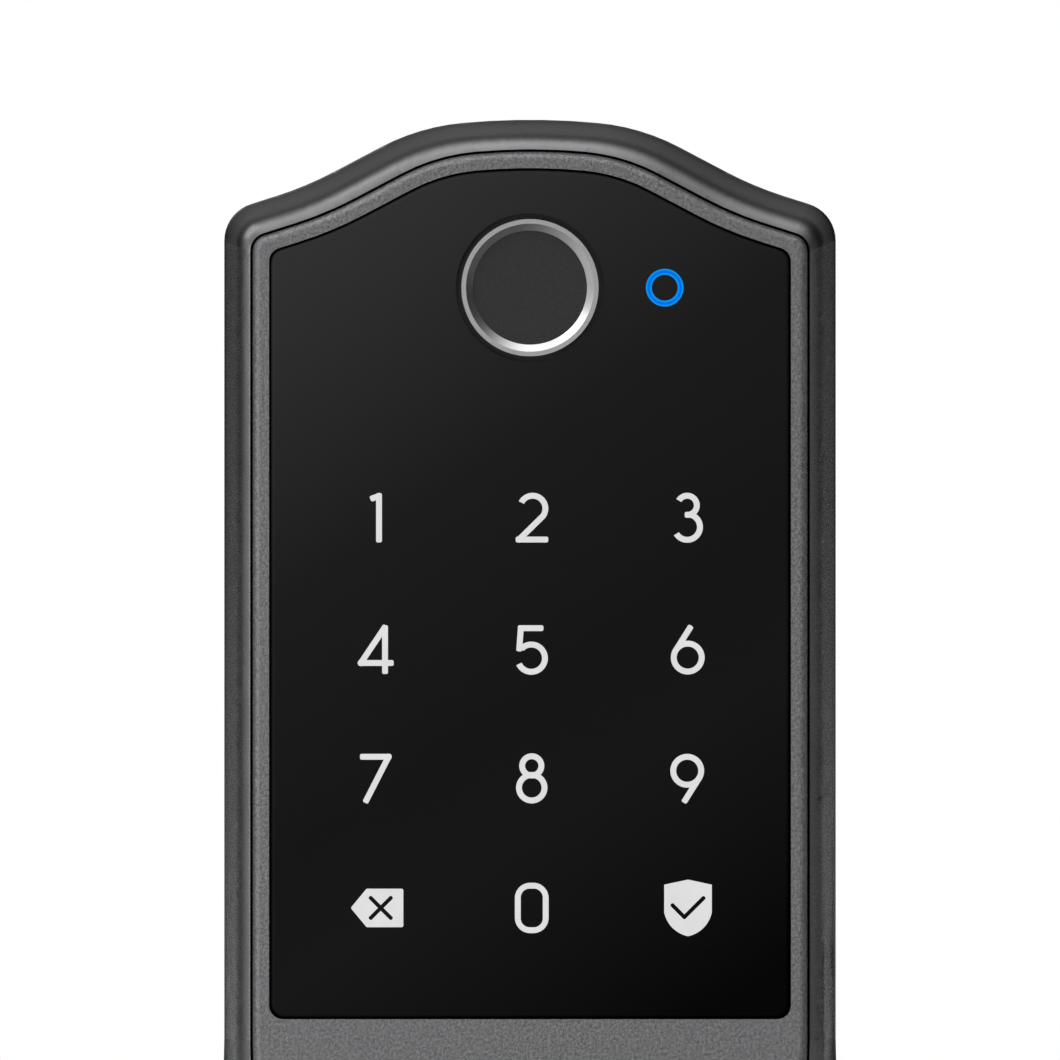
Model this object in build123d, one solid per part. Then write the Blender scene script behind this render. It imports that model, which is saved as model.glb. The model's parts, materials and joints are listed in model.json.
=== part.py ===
from build123d import *
import os
from math import acos, atan2, cos, degrees, pi, radians, sin, sqrt, tan

os.makedirs("parts", exist_ok=True)

# Keypad smart lock for a 45 mm door. Millimetres. X right, Z up, Y into the door.
# The origin is the centre of the cross bore on the door's outer face, so the outside unit is at -Y.
# "Depth" below means distance out from the door's outer face, so y = -depth.

# ---------- driving dimensions: door ----------
DOOR = 45.0
BACKSET = 70.0
MID = DOOR / 2

# ---------- driving dimensions: outside unit outlines, as (outer edge, groove) pairs ----------
APEX_TOP = (124.76, 121.34)
APEX_BOTTOM = (34.0, 30.6)
HALF_WIDTH = (35.0, 32.0)
HALF_WIDTH_LOW = (36.2, 30.2)
CROWN_R = (85.0, 70.0)
SHOULDER_R = (25.0, 22.0)
SCOOP_R = (40.0, 42.0)
CORNER_R = (4.4, 2.2)
SLOPE_RUN = 5.4
CROWN_ANGLE, STEEP_ANGLE, EAVE_ANGLE = 5.2, 27.8, 17.6
FLARE_TOP, FLARE_END = 19.5, 3.5

# ---------- driving dimensions: outside unit depths ----------
GASKET_D = 1.2
REAR_PLATE_D = 2.8
LIP_D = 19.8
FRONT_WALL_D = 17.1
POCKET_D = 18.6
PLATE_D = 21.4
PLATE_EDGE_R = 0.85
GROOVE_GAP = 0.3
PLATE_BAND = 2.17
GLASS_GAP = 0.22
GLASS_D = 21.3
GLASS_BACK_D = 19.1
GLASS_BOTTOM = 22.1
GLASS_CORNER_R = 1.6
GLASS_EDGE_R = 0.42
WALL = 1.2
KEY_BOARD_D = 17.5
KEY_BOARD_BACK_D = 15.9
CARRIER_BACK_D = 12.4

# the moulding from the side wall in to the groove, as (share of the way in, depth)
SIDE_WALL_D = 13.1
OGEE = [
    (0.0, SIDE_WALL_D),
    (0.15, 14.07),
    (0.3, 15.75),
    (0.45, 17.82),
    (0.6, 18.88),
    (0.75, 19.4),
    (0.9, 19.69),
    (1.0, LIP_D),
]

# ---------- driving dimensions: sensor, light and legends ----------
SENSOR_Z = 105.5
RECESS_R, BEZEL_R, RIM_R, SENSOR_R = 8.5, 7.84, 7.32, 6.5
BEZEL_D, BEZEL_BACK_D, BEZEL_CHAMFER = GLASS_D + 0.35, 15.0, 0.62
SENSOR_D, SENSOR_BACK_D = 20.95, 16.4
LIGHT_X, LIGHT_R, LIGHT_HOLE_R = 15.4, 2.15, 1.49
COLUMNS = (-17.6, 0.2, 18.0)
ROWS = (79.2, 64.1, 49.4, 34.6)
STROKE = 0.67
STROKE_END_R = 0.2
INLAY = 0.3

# ---------- driving dimensions: key cylinder and drive line ----------
CYL_R = 13.2
CYL_RING_R = 15.3
CYL_RING_D = 22.6
CYL_SCREW_XS = (-10.9, 10.9)
PLUG_R = 6.3
PLUG_BORE_R = 6.38
PIN_R = 1.25
PIN_DEPTHS = (18.4, 15.2, 12.0, 8.8, 5.6)
KEY_PIN_LENGTHS = (4.4, 3.2, 4.7, 3.7, 2.8)
BAR_W, BAR_T = 7.0, 2.4
POST_ZS = (19.5, -23.4)
BOLT_R = 2.0
CRANK_R = 17.96
CRANK_PIN_R = 1.9
FORK_SLOT, FORK_HALF = 5.2, 4.8

# ---------- driving dimensions: inside unit ----------
INNER_HALF_W = 32.5
INNER_TOP, INNER_BOTTOM = 106.0, -31.0
MOUNT_PLATE_Y = DOOR + 1.5
CHASSIS_Y = 49.4
COVER_Y = 78.0
DOOR_SPLIT_Z = 46.6
CELL_R, CELL_L, CELL_PITCH = 7.1, 49.3, 14.7
CELL_Y, CELL_Z0 = 65.0, 52.6
SPUR_OUT, SPUR_2A, SPUR_2B, SPUR_1A, SPUR_1B, SPUR_M = 48, 14, 36, 14, 40, 12
MOD_A, MOD_B, MOD_C = 0.8, 0.6, 0.5
GEARBOX_Y = 58.8
GEARBOX_PLATE_Y = 60.3
MOTOR_R = 7.75


def keep(name, shape):
    """Export one node."""
    export_step(shape, f"parts/{name}.step")


# ---------- small shape helpers ----------
def block(x0, x1, y0, y1, z0, z1):
    return Pos((x0 + x1) / 2, (y0 + y1) / 2, (z0 + z1) / 2) * Box(x1 - x0, y1 - y0, z1 - z0)


def rod(x, z, r, y0, y1):
    """A cylinder along Y from y0 to y1."""
    return Pos(x, (y0 + y1) / 2, z) * Rot(90, 0, 0) * Cylinder(r, y1 - y0)


def ring(x, z, r_out, r_in, y0, y1):
    return rod(x, z, r_out, y0, y1) - rod(x, z, r_in, y0 - 1, y1 + 1)


def slab(face, y0, y1):
    """Extrude a face drawn in X and Z from y0 to y1."""
    return extrude(Plane.XZ.offset(-y1) * face, y1 - y0)


def rounded(x0, x1, z0, z1, r):
    return Pos((x0 + x1) / 2, (z0 + z1) / 2) * RectangleRounded(x1 - x0, z1 - z0, r)


def pair(ab, share):
    return ab[0] + (ab[1] - ab[0]) * share


# ---------- the arched outline ----------
def half_crown(apex, half_w, share, inset, corner):
    """Right half of the arch, from the crown arc to the top of the straight side."""
    a1, a2, a3 = radians(CROWN_ANGLE), radians(STEEP_ANGLE), radians(EAVE_ANGLE)
    r1 = pair(CROWN_R, share) - inset
    r2 = pair(SHOULDER_R, share) - inset
    r3 = pair(SCOOP_R, share) + inset
    p1 = (r1 * sin(a1), apex - r1 * (1 - cos(a1)))
    mid = (a1 + a2) / 2
    m2 = (p1[0] + r2 * (sin(mid) - sin(a1)), p1[1] - r2 * (cos(a1) - cos(mid)))
    p2 = (p1[0] + r2 * (sin(a2) - sin(a1)), p1[1] - r2 * (cos(a1) - cos(a2)))
    p3 = (p2[0] + SLOPE_RUN, p2[1] - SLOPE_RUN * tan(a2))
    mid = (a2 + a3) / 2
    m4 = (p3[0] + r3 * (sin(a2) - sin(mid)), p3[1] - r3 * (cos(mid) - cos(a2)))
    p4 = (p3[0] + r3 * (sin(a2) - sin(a3)), p3[1] - r3 * (cos(a3) - cos(a2)))
    x5 = half_w - corner * (1 - sin(a3))
    p5 = (x5, p4[1] - (x5 - p4[0]) * tan(a3))
    mid = (a3 + pi / 2) / 2
    m6 = (x5 + corner * (sin(mid) - sin(a3)), p5[1] - corner * (cos(a3) - cos(mid)))
    p6 = (half_w, p5[1] - corner * cos(a3))
    return [[p1, m2, p2], [p2, p3], [p3, m4, p4], [p4, p5], [p5, m6, p6]]


def draw(points):
    return Line(*points) if len(points) == 2 else ThreePointArc(*points)


def body_outline(share, inset=0.0, corner=None, floor=None):
    """The unit's outline: share 0 is the outer edge and 1 the groove, then inset evenly."""
    rc = corner if corner else max(pair(CORNER_R, share) - inset, 0.5)
    w_top = pair(HALF_WIDTH, share) - inset
    apex = pair(APEX_TOP, share) - inset
    right = half_crown(apex, w_top, share, inset, rc)
    side_top = right[-1][-1]
    if floor is None:
        w_low = pair(HALF_WIDTH_LOW, share) - inset
        base = pair(APEX_BOTTOM, share) - inset
        low = half_crown(base, w_low, share, inset, rc)
        low = [[(x, -z) for x, z in reversed(seg)] for seg in reversed(low)]
        mid_z = (FLARE_TOP + FLARE_END) / 2
        flare = [(w_top, FLARE_TOP), (w_top, mid_z), (w_low, mid_z), (w_low, FLARE_END)]
        rights = [draw(s) for s in right] + [Line(side_top, flare[0]), Bezier(*flare)]
        rights += [Line(flare[3], low[0][0])] + [draw(s) for s in low]
        end = low[-1][-1]
        close = ThreePointArc(end, (0, -base), (-end[0], end[1]))
    else:
        corner_in = rc * (1 - cos(radians(45)))
        arc = [(w_top, floor + rc), (w_top - corner_in, floor + corner_in), (w_top - rc, floor)]
        rights = [draw(s) for s in right] + [Line(side_top, arc[0]), draw(arc)]
        close = Line(arc[2], (-arc[2][0], floor))
    start = right[0][0]
    crown = ThreePointArc((-start[0], start[1]), (0, apex), start)
    lefts = [edge.mirror(Plane.YZ) for edge in rights]
    return make_face(Wire([crown] + rights + [close] + lefts))


# ---------- gears ----------
def involute(angle):
    return tan(angle) - angle


def spur(teeth, module, x, z, y0, y1, phase, play=0.09):
    """A spur gear along Y. A tooth points at the phase angle, measured from +X towards +Z."""
    r_pitch = module * teeth / 2
    r_base = r_pitch * cos(radians(20))
    r_tip = r_pitch + 0.92 * module
    r_root = r_pitch - 1.25 * module
    half = pi / (2 * teeth) - play * module / (2 * r_pitch) + involute(radians(20))

    def flank(r, side):
        lean = half - (involute(acos(r_base / r)) if r > r_base else 0)
        return (r * cos(side * lean), r * sin(side * lean))

    r_start = max(r_base, r_root + 0.02)
    r_mid = (r_start + r_tip) / 2
    tooth = [
        Line((r_root * 0.9, -r_root * sin(half) * 0.9), flank(r_start, -1)),
        ThreePointArc(flank(r_start, -1), flank(r_mid, -1), flank(r_tip, -1)),
        ThreePointArc(flank(r_tip, -1), (r_tip, 0), flank(r_tip, 1)),
        ThreePointArc(flank(r_tip, 1), flank(r_mid, 1), flank(r_start, 1)),
        Line(flank(r_start, 1), (r_root * 0.9, r_root * sin(half) * 0.9)),
        Line((r_root * 0.9, r_root * sin(half) * 0.9), (r_root * 0.9, -r_root * sin(half) * 0.9)),
    ]
    one = make_face(Wire(tooth))
    turns = [Rot(0, 0, phase + 360 * i / teeth) * one for i in range(teeth)]
    flat = Circle(r_root) + turns
    return slab(Pos(x, z) * flat, y0, y1)


def screw(x, z, y_seat, y_tip, r_shank, r_head, h_head, out):
    """A pan-head screw along Y. out is -1 if the head stands towards -Y of its seat."""
    head_end = y_seat + out * h_head
    head = rod(x, z, r_head, min(y_seat, head_end), max(y_seat, head_end))
    shank = rod(x, z, r_shank, min(y_seat, y_tip), max(y_seat, y_tip))
    slot = h_head * 0.55
    cut_from = head_end - out * slot
    cut_y = (min(cut_from, head_end + out), max(cut_from, head_end + out))
    drive = block(x - r_head * 0.55, x + r_head * 0.55, *cut_y, z - 0.35, z + 0.35)
    cross = block(x - 0.35, x + 0.35, *cut_y, z - r_head * 0.55, z + r_head * 0.55)
    return head + shank - drive - cross


def screws(spots, *spec):
    """The same screw at each spot, as one node of separate solids."""
    return Compound([screw(x, z, *spec) for x, z in spots])


# ---------- OUTSIDE UNIT ----------
sections = [Plane.XZ.offset(d) * body_outline(s) for s, d in OGEE]
side_wall = slab(body_outline(0), -SIDE_WALL_D, -GASKET_D)
cavity = slab(body_outline(1, WALL), -FRONT_WALL_D, -GASKET_D)
pocket = slab(body_outline(1), -LIP_D - 1, -POCKET_D)
glass_seat = body_outline(1, PLATE_BAND + GLASS_GAP + 1.5, GLASS_CORNER_R, GLASS_BOTTOM + 1.5)
module_window = slab(glass_seat, -LIP_D, -FRONT_WALL_D + 1)
SCREW_SPOTS = [(x, z) for z in (103.0, 60.0) for x in (-28.0, 28.0)] + [(-23.0, -14.0), (23.0, -14.0)]
BOSS_R, SCREW_R, SCREW_SEAT_D = 2.7, 1.3, 2.4
CABLE_X, CABLE_Z = -15.6, 18.0
CABLE_SLOT = rounded(CABLE_X - 3.2, CABLE_X + 3.2, CABLE_Z - 2.6, CABLE_Z + 3.0, 1.5)
shell = side_wall + loft(sections) - cavity - pocket - module_window
shell -= rod(0, 0, CYL_R + 0.2, -POCKET_D - 1, -FRONT_WALL_D + 1)
for x, z in SCREW_SPOTS:
    shell += rod(x, z, BOSS_R, -FRONT_WALL_D, -REAR_PLATE_D)
    shell -= rod(x, z, SCREW_R, -13.0, 0)
keep("outer_shell", shell)

gasket = slab(body_outline(0, 1.0), -GASKET_D, 0) - slab(body_outline(0, 6.8), -GASKET_D - 1, 1)
keep("weather_gasket", gasket)

plate_face = body_outline(1, GROOVE_GAP)
plate = slab(plate_face, -PLATE_D, -POCKET_D)
front_edges = plate.edges().filter_by_position(Axis.Y, -PLATE_D - 0.01, -PLATE_D + 0.01)
plate = fillet(front_edges, PLATE_EDGE_R)
window = body_outline(1, PLATE_BAND, GLASS_CORNER_R, GLASS_BOTTOM - GLASS_GAP)
plate -= slab(window, -PLATE_D - 1, 0)
plate -= rod(0, 0, CYL_RING_R + 0.1, -PLATE_D - 1, 0)
keep("face_plate", plate)

glass_outline = body_outline(1, PLATE_BAND + GLASS_GAP, GLASS_CORNER_R, GLASS_BOTTOM)
glass = slab(glass_outline, -GLASS_D, -GLASS_BACK_D)
front_edges = glass.edges().filter_by_position(Axis.Y, -GLASS_D - 0.01, -GLASS_D + 0.01)
glass = fillet(front_edges, GLASS_EDGE_R)
glass -= rod(0, SENSOR_Z, RECESS_R, -GLASS_D - 1, 0)


# ---------- legends, drawn with strokes about each key's centre ----------
def bar(a, b, w=STROKE, end=STROKE_END_R):
    """A stroke between two centreline ends, with rounded corners."""
    length = sqrt((b[0] - a[0]) ** 2 + (b[1] - a[1]) ** 2) + w
    turn = degrees(atan2(b[1] - a[1], b[0] - a[0]))
    return Pos((a[0] + b[0]) / 2, (a[1] + b[1]) / 2) * Rot(0, 0, turn) * RectangleRounded(length, w, end)


def bow(c, r, a0, a1, w=STROKE):
    """A curved stroke about c from angle a0 to a1, in degrees, anticlockwise."""
    def at(radius, a):
        return (c[0] + radius * cos(radians(a)), c[1] + radius * sin(radians(a)))
    outer, inner, mid = r + w / 2, r - w / 2, (a0 + a1) / 2
    edges = [
        ThreePointArc(at(outer, a0), at(outer, mid), at(outer, a1)),
        Line(at(outer, a1), at(inner, a1)),
        ThreePointArc(at(inner, a1), at(inner, mid), at(inner, a0)),
        Line(at(inner, a0), at(outer, a0)),
    ]
    return make_face(Wire(edges))


def loop(c, r, w=STROKE):
    return Pos(*c) * (Circle(r + w / 2) - Circle(r - w / 2))


def digit(n):
    if n == 1:
        return bar((0.34, 2.48), (0.34, -2.48)) + bar((0.3, 2.48), (-0.34, 2.24))
    if n == 2:
        slant = bar((1.2, 0.12), (-1.42, -2.46))
        return bow((0.1, 1.06), 1.46, -40, 152) + slant + bar((-1.5, -2.49), (1.55, -2.49))
    if n == 3:
        top = bow((-0.03, 1.42), 1.1, -75, 150) + bar((0.02, 0.34), (0.35, 0.34))
        return top + bow((-0.03, -1.06), 1.46, -148, 75)
    if n == 4:
        slant = bar((0.95, 2.5), (-1.72, -1.48))
        return bar((1.03, 2.48), (1.03, -2.42)) + slant + bar((-1.72, -1.5), (1.68, -1.5))
    if n == 5:
        bowl = bow((-0.05, -0.95), 1.56, -155, 138)
        return bowl + bar((-1.25, 2.48), (1.0, 2.48)) + bar((-1.25, 2.48), (-1.42, 0.16))
    if n == 6:
        return loop((0.03, -0.88), 1.6) + bar((-1.36, -0.1), (0.26, 2.48))
    if n == 7:
        return bar((-1.5, 2.48), (1.42, 2.48)) + bar((1.42, 2.46), (-1.1, -2.48))
    if n == 8:
        return loop((0, 1.44), 1.1) + loop((0, -1.06), 1.46)
    if n == 9:
        return loop((-0.03, 0.88), 1.6) + bar((1.36, 0.1), (-0.26, -2.48))
    return RectangleRounded(3.86, 5.76, 1.75) - RectangleRounded(3.86 - 2 * STROKE, 5.76 - 2 * STROKE, 1.02)


tag_corners = [(-3.02, 0), (-1.2, 2.2), (3.0, 2.2), (3.0, -2.2), (-1.2, -2.2)]
back_tag = make_face(Wire(Polyline(*tag_corners, close=True).edges()))
back_tag = fillet(back_tag.vertices(), 0.22)
back_tag -= bar((-0.72, 1.14), (1.56, -1.14), 0.46, 0.2) + bar((-0.72, -1.14), (1.56, 1.14), 0.46, 0.2)
shield_edges = [
    Line((0, 3.24), (2.72, 2.66)),
    Line((2.72, 2.66), (2.72, -0.55)),
    ThreePointArc((2.72, -0.55), (1.85, -2.2), (0, -3.24)),
    ThreePointArc((0, -3.24), (-1.85, -2.2), (-2.72, -0.55)),
    Line((-2.72, -0.55), (-2.72, 2.66)),
    Line((-2.72, 2.66), (0, 3.24)),
]
shield = make_face(Wire(shield_edges))
shield -= bar((-1.76, 0.3), (-0.42, -1.05), 0.46, 0.2) + bar((-0.42, -1.05), (1.76, 1.12), 0.46, 0.2)
legend_faces = []
for n in range(1, 10):
    legend_faces.append(Pos(COLUMNS[(n - 1) % 3], ROWS[(n - 1) // 3]) * digit(n))
legend_faces.append(Pos(COLUMNS[1], ROWS[3]) * digit(0))
legend_faces.append(Pos(COLUMNS[0] + 0.12, ROWS[3]) * back_tag)
legend_faces.append(Pos(COLUMNS[2] + 0.06, ROWS[3]) * shield)
legends = [slab(f, -GLASS_D, -GLASS_D + INLAY) for f in legend_faces]
for item in legends:
    glass -= item
light = ring(LIGHT_X, SENSOR_Z, LIGHT_R, LIGHT_HOLE_R, -GLASS_D, -GLASS_D + INLAY * 2)
glass -= light
keep("touch_glass", glass)
keep("keypad_legends", Compound([solid for item in legends for solid in item.solids()]))
keep("status_light_ring", light)

gasket_hole = body_outline(1, PLATE_BAND + GLASS_GAP + 1.4, GLASS_CORNER_R, GLASS_BOTTOM + 1.4)
keep("glass_seal", slab(glass_outline, -GLASS_BACK_D, -POCKET_D) - slab(gasket_hole, -GLASS_BACK_D - 1, 0))

bezel = ring(0, SENSOR_Z, BEZEL_R, SENSOR_R + 0.02, -BEZEL_D, -BEZEL_BACK_D)
cone_place = Pos(0, -BEZEL_D + BEZEL_CHAMFER / 2, SENSOR_Z) * Rot(90, 0, 0)
bezel -= cone_place * Cone(SENSOR_R + 0.02, RIM_R, BEZEL_CHAMFER)
keep("sensor_bezel", bezel)
keep("sensor_seal", ring(0, SENSOR_Z, RECESS_R, BEZEL_R, -20.4, -GLASS_BACK_D))
keep("fingerprint_sensor", rod(0, SENSOR_Z, SENSOR_R, -SENSOR_D, -SENSOR_BACK_D))
sensor_socket = block(-3.5, 3.5, -14.0, -12.6, SENSOR_Z - 2, SENSOR_Z + 2)
keep("sensor_board", rod(0, SENSOR_Z, BEZEL_R, -BEZEL_BACK_D, -14.0) + sensor_socket)

guide_face = body_outline(1, 7.0, GLASS_CORNER_R, GLASS_BOTTOM + 4.4)
sensor_clear = rod(0, SENSOR_Z, RECESS_R + 0.4, -30, 0)
guide = slab(guide_face, -GLASS_BACK_D, -KEY_BOARD_D) - sensor_clear
keep("backlight_guide", guide)
board = slab(guide_face, -KEY_BOARD_D, -KEY_BOARD_BACK_D) - sensor_clear
keep("keypad_board", board)
chip_boxes = [(-9, 3, 1.5, 52, 64), (-18, -10, 1.4, 72, 79), (8, 17, 1.2, 74, 82)]
chip_boxes += [(-18.6, -12.6, 1.7, 30, 36)]
chip_boxes += [(12 + 3 * i, 13.6 + 3 * i, 0.9, 44, 47) for i in range(4)]
back = -KEY_BOARD_BACK_D
chips = [block(x0, x1, back, back + high, z0, z1) for x0, x1, high, z0, z1 in chip_boxes]
keep("board_components", Compound(chips))

carrier_face = body_outline(1, WALL + 0.3)
carrier = slab(carrier_face, -KEY_BOARD_BACK_D, -CARRIER_BACK_D)
carrier &= block(-40, 40, -30, 0, GLASS_BOTTOM + 2.6, 130)
carrier -= slab(body_outline(1, 8.6, 3.0, GLASS_BOTTOM + 6), -30, 0)
carrier += block(-26, 26, -13.9, -CARRIER_BACK_D, 88.5, 93.0)
carrier -= rod(0, SENSOR_Z, BEZEL_R + 0.3, -30, 0)
for x, z in SCREW_SPOTS:
    carrier -= rod(x, z, BOSS_R + 0.1, -30, 0)
carrier_spots = [(-26.6, 80.0), (26.6, 80.0), (-26.6, 36.0), (26.6, 36.0)]
for x, z in carrier_spots:
    carrier -= rod(x, z, 1.0, -14.9, 0)
keep("keypad_carrier", carrier)
keep("carrier_clamp_screws", screws(carrier_spots, -CARRIER_BACK_D, -14.9, 1.0, 1.9, 1.1, 1))
keep("buzzer", rod(14, 61.0, 7.0, -KEY_BOARD_BACK_D, -12.9) - rod(14, 61.0, 1.2, -13.9, -12))

rear = slab(body_outline(1, WALL + 0.15), -REAR_PLATE_D, -GASKET_D)
rear -= rod(0, 0, 8.5, -10, 1)
rear -= slab(CABLE_SLOT, -10, 1)
for z in POST_ZS:
    rear -= rod(0, z, 3.4, -10, 1)
for x, z in SCREW_SPOTS:
    rear -= rod(x, z, SCREW_R + 0.15, -10, 1) + rod(x, z, 2.35, -SCREW_SEAT_D, 1)
for x in CYL_SCREW_XS:
    rear -= rod(x, 0, 1.5, -10, 1)
keep("rear_plate", rear)
flat_head = SCREW_SEAT_D - GASKET_D
keep("housing_screws", screws(SCREW_SPOTS, -SCREW_SEAT_D, -12.0, SCREW_R, 2.3, flat_head, 1))

posts = []
for z in POST_ZS:
    post = ring(0, z, 3.4, BOLT_R, -13.0, -GASKET_D) + ring(0, z, 4.6, BOLT_R, -4.6, -REAR_PLATE_D)
    posts.append(post)
keep("mounting_posts", Compound(posts))

# ---------- key cylinder ----------
cyl = rod(0, 0, CYL_R, -PLATE_D, -REAR_PLATE_D) - rod(0, 0, PLUG_BORE_R, -30, 0)
for z in POST_ZS:
    cyl -= rod(0, z, 4.7, -30, 0)
for d in PIN_DEPTHS:
    cyl -= Pos(0, -d, 9.3) * Cylinder(PIN_R, 6.6)
for x in CYL_SCREW_XS:
    cyl -= rod(x, 0, 1.3, -9, 0)
keep("cylinder_housing", cyl)
cyl_ring = ring(0, 0, CYL_RING_R, CYL_R, -CYL_RING_D, -POCKET_D)
ring_edges = cyl_ring.edges().filter_by_position(Axis.Y, -CYL_RING_D - 0.01, -CYL_RING_D + 0.01)
cyl_ring = fillet(ring_edges.sort_by(SortBy.LENGTH)[-1:], 0.8)
keep("cylinder_ring", cyl_ring)
keep("cylinder_screws", screws([(x, 0) for x in CYL_SCREW_XS], -GASKET_D, -8.5, 1.3, 2.3, 1.0, 1))

plug = rod(0, 0, PLUG_R, -21.9, -0.8)
plug -= block(-0.9, 0.9, -23, -3.6, -5.4, 2.2)
plug -= block(0.85, 1.7, -23, -3.6, -2.6, -1.2)
for d in PIN_DEPTHS:
    plug -= Pos(0, -d, 4.3) * Cylinder(PIN_R, 6.0)
clip_y = (-2.5, -1.7)
plug -= ring(0, 0, 7, PLUG_R - 0.9, *clip_y)


def sector(r_out, centre_deg, half_deg, y0, y1):
    """A pie slice along Y. The angle is measured from +X towards +Z."""
    angles = [radians(centre_deg + turn) for turn in (-half_deg, 0, half_deg)]
    pts = [(r_out * cos(a), r_out * sin(a)) for a in angles]
    edges = [Line((0, 0), pts[0]), ThreePointArc(*pts), Line(pts[2], (0, 0))]
    return slab(make_face(Wire(edges)), y0, y1)


plug += sector(5.6, 90, 24, -0.8, 0.5) - rod(0, 0, 3.0, -3, 2)
keep("key_plug", plug)
key_pins = []
for d, length in zip(PIN_DEPTHS, KEY_PIN_LENGTHS):
    key_pins.append(Pos(0, -d, 6.1 - length / 2) * Cylinder(PIN_R - 0.04, length))
keep("key_pins", Compound(key_pins))
driver_pins = [Pos(0, -d, 8.1) * Cylinder(PIN_R - 0.04, 3.1) for d in PIN_DEPTHS]
keep("driver_pins", Compound(driver_pins))
spring_wire = 0.11
one_spring = sweep(Plane.XZ * Pos(0.95, 0) * Circle(spring_wire), Helix(0.42, 2.52, 0.95), is_frenet=True)
keep("pin_springs", Compound([Pos(0, -d, 9.85) * one_spring for d in PIN_DEPTHS]))
clip = ring(0, 0, 8.0, PLUG_R - 0.9, *clip_y) - block(-2, 2, -3, -1, -9, -4)
keep("plug_clip", clip)

tail = block(-BAR_T / 2, BAR_T / 2, 0.9, 57.0, -BAR_W / 2, BAR_W / 2)
tail += rod(0, 0, 2.7, -0.6, 0.9) + sector(5.6, -135, 20, -0.6, 0.9)
keep("tailpiece", tail)

# ---------- latch ----------
FRAME_X0, FRAME_X1 = -19.2, 22.0
FRAME_TOP, FRAME_LOW = 11.0, -20.0
FRAME_HALF_Y, SHEET = 8.0, 1.2
TUBE_R, TUBE_IN_R = 12.4, 11.4
tube = Pos((FRAME_X1 - SHEET + BACKSET - 3) / 2, MID, 0) * Rot(0, 90, 0)
tube_len = BACKSET - 3 - FRAME_X1 + SHEET
case = tube * Cylinder(TUBE_R, tube_len)
frame_face = rounded(FRAME_X0, FRAME_X1, FRAME_LOW, FRAME_TOP, 4.0)
case += slab(frame_face, MID - FRAME_HALF_Y, MID + FRAME_HALF_Y)
inner_face = offset(frame_face, -SHEET)
case -= slab(inner_face, MID - FRAME_HALF_Y + SHEET, MID + FRAME_HALF_Y - SHEET)
case -= tube * Cylinder(TUBE_IN_R, tube_len + 6)
HUB_R = 6.2
case -= rod(0, 0, HUB_R + 0.08, 0, DOOR)
gap_y = FRAME_HALF_Y - SHEET
case -= block(FRAME_X0 - 5, FRAME_X1 - SHEET, MID - gap_y, MID + gap_y, FRAME_LOW - 5, -6.8)
keep("latch_case", case)

FACE_HALF_H, FACE_HALF_W = 28.6, 12.7
HOLE_SPACING, FACE_HOLE_R = 41.3, 2.2
face_sketch = RectangleRounded(2 * FACE_HALF_W, 2 * FACE_HALF_H, 6.0)
latch_face = Pos(BACKSET - 3, MID, 0) * Rot(0, 90, 0) * Rot(0, 0, 90) * extrude(face_sketch, 3.0)
BOLT_W, BOLT_H, BOLT_GAP = 13.4, 17.4, 0.35
hole_w, hole_h = BOLT_W / 2 + BOLT_GAP, BOLT_H / 2 + BOLT_GAP
latch_face -= block(BACKSET - 10, BACKSET + 1, MID - hole_w, MID + hole_w, -hole_h, hole_h)
for z in (-HOLE_SPACING / 2, HOLE_SPACING / 2):
    latch_face -= Pos(BACKSET - 2, MID, z) * Rot(0, 90, 0) * Cylinder(FACE_HOLE_R, 8)
    latch_face -= Pos(BACKSET - 0.6, MID, z) * Rot(0, 90, 0) * Cone(FACE_HOLE_R, 3.9, 1.2)
keep("latch_faceplate", latch_face)

BOLT_X0, BOLT_X1 = 24.0, BACKSET - 0.4
bolt = block(BOLT_X0, BOLT_X1, MID - BOLT_W / 2, MID + BOLT_W / 2, -BOLT_H / 2, BOLT_H / 2)
bolt = fillet(bolt.edges().filter_by(Axis.X) + bolt.faces().sort_by(Axis.X)[-1].edges(), 0.9)
TAIL_Y0, TAIL_Y1 = MID + 1.1, MID + 4.1
PIN_X = -CRANK_R * sin(radians(45))
bolt += block(PIN_X - FORK_HALF, BOLT_X0, TAIL_Y0, TAIL_Y1, -10.2, -7.2)
bolt += block(BOLT_X0 - 3, BOLT_X0, TAIL_Y0, TAIL_Y1, -10.2, -2.0)
bolt += block(PIN_X - FORK_HALF, PIN_X - FORK_SLOT / 2, TAIL_Y0, TAIL_Y1, -18.8, -7.2)
bolt += block(PIN_X + FORK_SLOT / 2, PIN_X + FORK_HALF, TAIL_Y0, TAIL_Y1, -18.8, -7.2)
bolt -= Pos(BOLT_X1 - 13, MID, 0) * Rot(0, 90, 0) * Cylinder(2.6, 22.4)
keep("deadbolt", bolt)
keep("saw_guard_pin", Pos(BOLT_X1 - 13, MID, 0) * Rot(0, 90, 0) * Cylinder(2.5, 22.0))

hub = rod(0, 0, HUB_R, MID - FRAME_HALF_Y - 0.4, MID + FRAME_HALF_Y + 0.4)
hub += Rot(0, 45, 0) * block(-3.2, 3.2, MID - 1.6, MID + 0.8, -CRANK_R - 2.1, -4)
PIN_Z = -CRANK_R * cos(radians(45))
hub += rod(PIN_X, PIN_Z, CRANK_PIN_R, MID + 0.8, MID + 5.2)
hub -= block(-BAR_T / 2, BAR_T / 2, 0, DOOR, -BAR_W / 2, BAR_W / 2)
keep("latch_crank", hub)

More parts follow.
